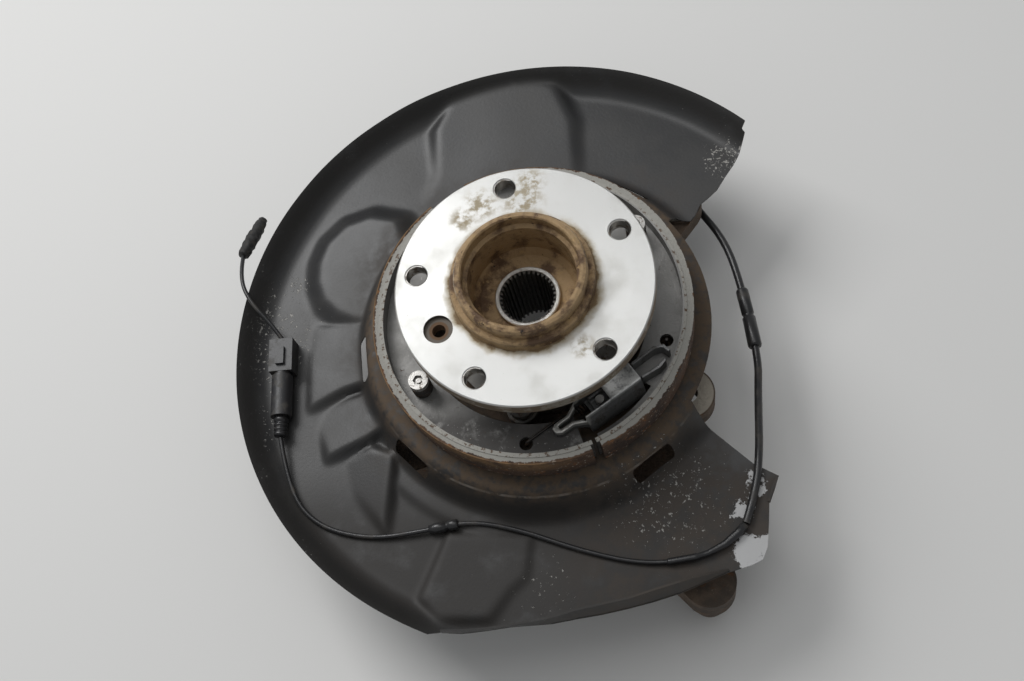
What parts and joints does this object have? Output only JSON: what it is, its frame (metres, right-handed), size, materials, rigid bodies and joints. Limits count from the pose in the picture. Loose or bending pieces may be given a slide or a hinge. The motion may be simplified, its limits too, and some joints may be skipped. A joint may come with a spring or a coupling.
{
  "type": "wheel hub",
  "caption": "Rear wheel hub of a car with splined drive flange, bearing, cast carrier, dust shield, parking-brake shoes and wheel-speed sensor lead.",
  "frame": {"origin": "centre of the wheel-mounting face of the drive flange, on the hub axis", "axes": "+Z along the hub axis, outboard (towards the wheel); +X towards the caliper gap of the dust shield; +Y towards the brake adjuster side"},
  "size_m": [0.3248, 0.36, 0.165],
  "materials": {
    "carrier_iron": "rusty as cast",
    "flange_steel": "turned and dusty, rust in the bowl",
    "bearing_steel": "ground",
    "seal_rubber": "matt",
    "shield_sheet": "satin with chips and dust",
    "shoe_steel": "zinc grey and stained",
    "lining": "rust-stained friction lining",
    "fixings": "dull",
    "expander_steel": "dark with bright edges",
    "spring_steel": "dark",
    "lead_rubber": "satin",
    "plug_plastic": "satin",
    "tape": "wrapped"
  },
  "bodies": {
    "carrier": {"wheel_carrier": "carrier_iron", "bearing_outer_ring": "bearing_steel", "bearing_seal_outboard": "seal_rubber", "bearing_seal_inboard": "seal_rubber", "bearing_bolts": "fixings", "dust_shield": "shield_sheet", "shield_bolts": "fixings", "adjuster_sleeve": "fixings", "adjuster_screw": "fixings", "hold_down_pins": "fixings", "hold_down_springs": "spring_steel", "hold_down_caps": "fixings", "return_spring_lower": "spring_steel", "return_spring_upper": "spring_steel", "link_bush_rubbers": "seal_rubber", "link_bush_sleeves": "fixings", "wheel_speed_sensor": "plug_plastic", "sensor_screw": "fixings", "sensor_lead_thick": "lead_rubber", "lead_sleeve": "lead_rubber", "lead_joint_sleeve": "lead_rubber", "sensor_lead_thin": "lead_rubber", "lead_grommet": "lead_rubber", "plug_boot": "lead_rubber", "sensor_plug": "plug_plastic", "plug_socket": "plug_plastic", "pigtail_wires": "lead_rubber", "tape_wrap": "tape"},
    "hub": {"drive_flange": "flange_steel", "bearing_inner_ring_outboard": "bearing_steel", "bearing_inner_ring_inboard": "bearing_steel", "ball_row_outboard": "bearing_steel", "ball_row_inboard": "bearing_steel"},
    "shoe_left": {"brake_shoe_left": "shoe_steel", "brake_lining_left": "lining", "expander_channel": "expander_steel", "expander_pin": "fixings"},
    "shoe_right": {"brake_shoe_right": "shoe_steel", "brake_lining_right": "lining"},
    "lever": {"expander_lever": "expander_steel"}
  },
  "joints": [
    {"name": "hub_spin", "type": "hinge", "parent": "carrier", "child": "hub", "pos_m": [0, 0, -0.05], "axis": [0, 0, 1], "continuous": true},
    {"name": "shoe_left_spread", "type": "hinge", "parent": "carrier", "child": "shoe_left", "pos_m": [-0.04986, 0.05736, -0.044], "axis": [0, 0, -1], "range_deg": [0, 0.9]},
    {"name": "shoe_right_spread", "type": "hinge", "parent": "carrier", "child": "shoe_right", "pos_m": [-0.02474, 0.07186, -0.044], "axis": [0, 0, 1], "range_deg": [0, 1.2]},
    {"name": "expander_swing", "type": "hinge", "parent": "shoe_left", "child": "lever", "pos_m": [0.0368, -0.05557, -0.044], "axis": [0, 0, 1], "range_deg": [0, 1.2]}
  ],
  "couplings": [
    {"joint": "shoe_right_spread", "follows": "shoe_left_spread", "ratio": 1.3333},
    {"joint": "expander_swing", "follows": "shoe_left_spread", "ratio": 1.3333}
  ]
}
